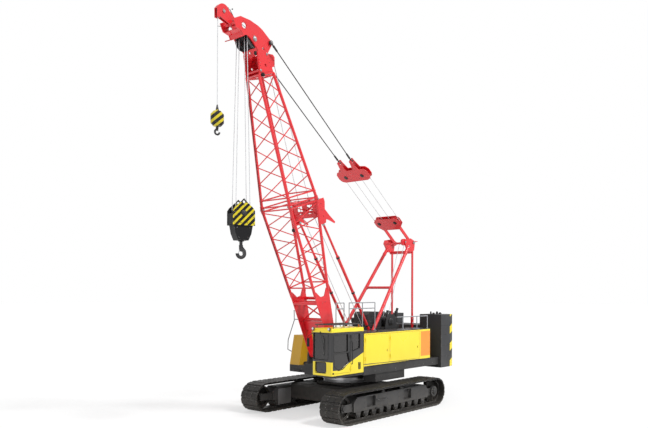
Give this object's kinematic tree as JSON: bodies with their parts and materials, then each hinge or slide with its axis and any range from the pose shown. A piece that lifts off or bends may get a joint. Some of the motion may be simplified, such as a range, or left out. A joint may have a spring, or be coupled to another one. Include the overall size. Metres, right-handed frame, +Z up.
{
  "type": "crawler crane",
  "caption": "Crawler crane with a short lattice boom, cab, machinery houses, boom hoist gantry, counterweight and two hooks.",
  "frame": {"origin": "where the slewing axis meets the ground, midway between the crawlers", "axes": "+X forward along the tracks and under the boom, +Y to the machine's left, +Z up"},
  "size_m": [10.0464, 4.34, 12.1116],
  "materials": {
    "black_paint": "satin",
    "console_plastic": "matt",
    "dark_grey_paint": "satin",
    "machined_steel": "satin",
    "rail_paint": "satin",
    "red_paint": "gloss",
    "seat_fabric": "matt",
    "stripe_paint": "satin",
    "track_steel": "worn",
    "window_glass": "gloss",
    "wire_rope": "satin",
    "yellow_paint": "gloss"
  },
  "bodies": {
    "undercarriage": {"carbody": "black_paint", "slew_ring": "machined_steel", "side_frame_left": "dark_grey_paint", "side_frame_right": "dark_grey_paint", "track_left": "track_steel", "track_right": "track_steel", "track_rollers": "track_steel", "idlers": "track_steel", "sprockets": "track_steel"},
    "upperstructure": {"turntable_deck": "dark_grey_paint", "counterweight": "dark_grey_paint", "cab_shell": "yellow_paint", "cab_glass": "window_glass", "operator_seat": "seat_fabric", "cab_console": "console_plastic", "house_left": "yellow_paint", "house_right": "yellow_paint", "engine_block": "black_paint", "gantry": "red_paint", "handrails": "rail_paint"},
    "cab_door": {"cab_door": "yellow_paint", "cab_door_glass": "window_glass"},
    "left_door_front": {"left_door_front": "yellow_paint"},
    "left_door_rear": {"left_door_rear": "yellow_paint"},
    "right_door": {"right_door": "yellow_paint"},
    "main_drum": {"main_drum": "machined_steel"},
    "aux_drum": {"aux_drum": "machined_steel"},
    "boom_drum": {"boom_drum": "machined_steel"},
    "boom": {"boom_lower": "red_paint", "boom_upper": "red_paint", "boom_head": "red_paint", "boom_guide_frame": "red_paint"},
    "head_sheaves": {"head_sheaves": "machined_steel"},
    "aux_sheave": {"aux_sheave": "machined_steel"},
    "lower_spreader": {"lower_spreader": "red_paint"},
    "upper_spreader": {"upper_spreader": "red_paint", "pendants": "wire_rope"},
    "backstop_tubes": {"backstop_tubes": "red_paint"},
    "backstop_rods": {"backstop_rods": "red_paint"},
    "main_falls": {"main_falls": "wire_rope"},
    "main_block": {"main_block": "stripe_paint"},
    "main_hook": {"main_hook": "machined_steel"},
    "aux_falls": {"aux_falls": "wire_rope"},
    "aux_ball": {"aux_ball": "stripe_paint"},
    "aux_hook": {"aux_hook": "machined_steel"}
  },
  "joints": [
    {"name": "slew", "type": "hinge", "parent": "undercarriage", "child": "upperstructure", "pos_m": [0, 0, 1.13], "axis": [0, 0, 1], "continuous": true},
    {"name": "boom_luff", "type": "hinge", "parent": "upperstructure", "child": "boom", "pos_m": [1.175, 0, 1.9], "axis": [0, -1, 0], "range_deg": [-36.8, 8.2]},
    {"name": "main_drum_turn", "type": "hinge", "parent": "upperstructure", "child": "main_drum", "pos_m": [-0.15, 0, 2.15], "axis": [0, -1, 0], "continuous": true},
    {"name": "aux_drum_turn", "type": "hinge", "parent": "upperstructure", "child": "aux_drum", "pos_m": [-1.1, 0, 2.15], "axis": [0, -1, 0], "continuous": true},
    {"name": "boom_drum_turn", "type": "hinge", "parent": "upperstructure", "child": "boom_drum", "pos_m": [-1.7, 0, 2.93], "axis": [0, -1, 0], "continuous": true},
    {"name": "cab_door_hinge", "type": "hinge", "parent": "upperstructure", "child": "cab_door", "pos_m": [1.625, 1.591, 2.1], "axis": [0, 0, 1], "range_deg": [0, 95]},
    {"name": "left_door_front_hinge", "type": "hinge", "parent": "upperstructure", "child": "left_door_front", "pos_m": [0.9, 1.591, 2.15], "axis": [0, 0, -1], "range_deg": [0, 100]},
    {"name": "left_door_rear_hinge", "type": "hinge", "parent": "upperstructure", "child": "left_door_rear", "pos_m": [-0.41, 1.591, 2.15], "axis": [0, 0, -1], "range_deg": [0, 100]},
    {"name": "right_door_hinge", "type": "hinge", "parent": "upperstructure", "child": "right_door", "pos_m": [-0.41, -1.591, 2.15], "axis": [0, 0, 1], "range_deg": [0, 100]},
    {"name": "head_sheaves_turn", "type": "hinge", "parent": "boom", "child": "head_sheaves", "pos_m": [4.48834, 0, 11.33725], "axis": [0, -1, 0], "continuous": true},
    {"name": "aux_sheave_turn", "type": "hinge", "parent": "boom", "child": "aux_sheave", "pos_m": [5.40944, 0, 11.8976], "axis": [0, -1, 0], "continuous": true},
    {"name": "lower_spreader_swing", "type": "hinge", "parent": "upperstructure", "child": "lower_spreader", "pos_m": [-3.25, 0, 5.88], "axis": [0, -1, 0], "range_deg": [-29.42, 6.79]},
    {"name": "rigging_reach", "type": "slide", "parent": "lower_spreader", "child": "upper_spreader", "axis": [0.7908, 0, 0.612], "range_m": [-0.7775, 3.4753]},
    {"name": "backstop_swing", "type": "hinge", "parent": "upperstructure", "child": "backstop_tubes", "pos_m": [-0.62, 0, 2.64], "axis": [0, -1, 0], "range_deg": [-31.2, 7.19]},
    {"name": "backstop_reach", "type": "slide", "parent": "backstop_tubes", "child": "backstop_rods", "axis": [0.5566, 0, 0.8308], "range_m": [-0.2522, 1.118]},
    {"name": "main_falls_swing", "type": "hinge", "parent": "boom", "child": "main_falls", "pos_m": [4.48834, 0, 11.33725], "axis": [0, -1, 0], "range_deg": [-8.5, 37.1]},
    {"name": "main_hoist", "type": "slide", "parent": "main_falls", "child": "main_block", "axis": [0, 0, 1], "range_m": [-0.6, 2.4], "deforming": ["main_falls"]},
    {"name": "main_hook_swivel", "type": "hinge", "parent": "main_block", "child": "main_hook", "pos_m": [4.7, 0, 5.2], "axis": [0, 0, 1], "continuous": true},
    {"name": "aux_falls_swing", "type": "hinge", "parent": "boom", "child": "aux_falls", "pos_m": [5.40944, 0, 11.8976], "axis": [0, -1, 0], "range_deg": [-8.5, 37.1]},
    {"name": "aux_hoist", "type": "slide", "parent": "aux_falls", "child": "aux_ball", "axis": [0, 0, 1], "range_m": [-3, 1.9], "deforming": ["aux_falls"]},
    {"name": "aux_hook_swivel", "type": "hinge", "parent": "aux_ball", "child": "aux_hook", "pos_m": [5.57144, 0, 8.5], "axis": [0, 0, 1], "continuous": true}
  ],
  "couplings": [
    {"joint": "lower_spreader_swing", "follows": "boom_luff", "ratio": 0.7913},
    {"joint": "rigging_reach", "follows": "boom_luff", "m_per_rad": -5.4046},
    {"joint": "backstop_swing", "follows": "boom_luff", "ratio": 0.8397},
    {"joint": "backstop_reach", "follows": "boom_luff", "m_per_rad": -1.7345},
    {"joint": "main_falls_swing", "follows": "boom_luff", "ratio": -1},
    {"joint": "aux_falls_swing", "follows": "boom_luff", "ratio": -1}
  ]
}
